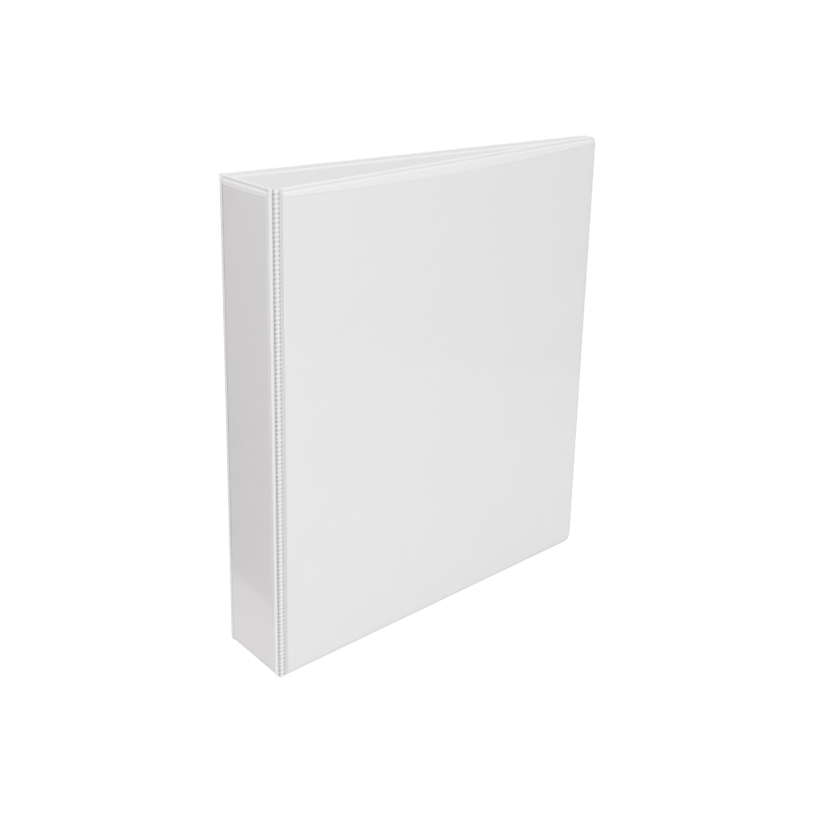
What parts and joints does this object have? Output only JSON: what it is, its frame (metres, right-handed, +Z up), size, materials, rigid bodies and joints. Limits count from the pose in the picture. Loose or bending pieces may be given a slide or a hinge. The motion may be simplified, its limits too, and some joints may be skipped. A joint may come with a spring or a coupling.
{
  "type": "ring binder",
  "caption": "Letter-size view binder: white vinyl covers and spine over board under clear film, with a lever-opened round ring mechanism inside the spine.",
  "frame": {"origin": "on the floor at the centre of the bounding box, with the binder standing on its bottom edges and its covers closed to a wedge", "axes": "+Z up along the spine, -X out of the spine, +X towards the fore-edges, -Y out of the front cover, +Y out of the back cover"},
  "size_m": [0.268, 0.0572, 0.292],
  "materials": {
    "white_vinyl": "smooth white vinyl sheet, satin gloss",
    "liner_vinyl": "white vinyl sheet with a fine matt grain",
    "clear_film": "clear glossy film",
    "chipboard": "grey chipboard",
    "nickel_plated_wire": "bright nickel plate",
    "zinc_plated_steel": "dull zinc plate"
  },
  "bodies": {
    "spine": {"spine_board": "chipboard", "spine_outer_skin": "white_vinyl", "spine_liner": "liner_vinyl", "spine_film": "clear_film", "front_hinge_weld": "white_vinyl", "back_hinge_weld": "white_vinyl", "ring_housing": "nickel_plated_wire", "housing_rivets": "nickel_plated_wire", "lever_pins": "zinc_plated_steel"},
    "front_cover": {"front_board": "chipboard", "front_outer_skin": "white_vinyl", "front_liner": "liner_vinyl", "front_film": "clear_film", "front_inner_pocket": "liner_vinyl"},
    "back_cover": {"back_board": "chipboard", "back_outer_skin": "white_vinyl", "back_liner": "liner_vinyl", "back_film": "clear_film", "back_inner_pocket": "liner_vinyl"},
    "front_rings": {"front_ring_plate": "zinc_plated_steel", "front_ring_half_bottom": "nickel_plated_wire", "front_ring_half_middle": "nickel_plated_wire", "front_ring_half_top": "nickel_plated_wire"},
    "back_rings": {"back_ring_plate": "zinc_plated_steel", "back_ring_half_bottom": "nickel_plated_wire", "back_ring_half_middle": "nickel_plated_wire", "back_ring_half_top": "nickel_plated_wire"},
    "lever_bottom": {"lever_bottom": "nickel_plated_wire"},
    "lever_top": {"lever_top": "nickel_plated_wire"}
  },
  "joints": [
    {"name": "front_cover_hinge", "type": "hinge", "parent": "spine", "child": "front_cover", "pos_m": [-0.13189, -0.027, 0], "axis": [0, 0, -1], "range_deg": [0, 185]},
    {"name": "back_cover_hinge", "type": "hinge", "parent": "spine", "child": "back_cover", "pos_m": [-0.13189, 0.027, 0], "axis": [0, 0, 1], "range_deg": [0, 185]},
    {"name": "front_rings_pivot", "type": "hinge", "parent": "spine", "child": "front_rings", "pos_m": [-0.12674, -0.0112, 0.146], "axis": [0, 0, -1], "range_deg": [0, 14]},
    {"name": "back_rings_pivot", "type": "hinge", "parent": "spine", "child": "back_rings", "pos_m": [-0.12674, 0.0112, 0.146], "axis": [0, 0, 1], "range_deg": [0, 14]},
    {"name": "lever_bottom_pivot", "type": "hinge", "parent": "spine", "child": "lever_bottom", "pos_m": [-0.12674, 0, 0.0218], "axis": [0, 1, 0], "range_deg": [0, 42]},
    {"name": "lever_top_pivot", "type": "hinge", "parent": "spine", "child": "lever_top", "pos_m": [-0.12674, 0, 0.2702], "axis": [0, -1, 0], "range_deg": [0, 42]}
  ],
  "couplings": [
    {"joint": "back_rings_pivot", "follows": "front_rings_pivot", "ratio": 1},
    {"joint": "lever_bottom_pivot", "follows": "front_rings_pivot", "ratio": 3},
    {"joint": "lever_top_pivot", "follows": "front_rings_pivot", "ratio": 3}
  ]
}
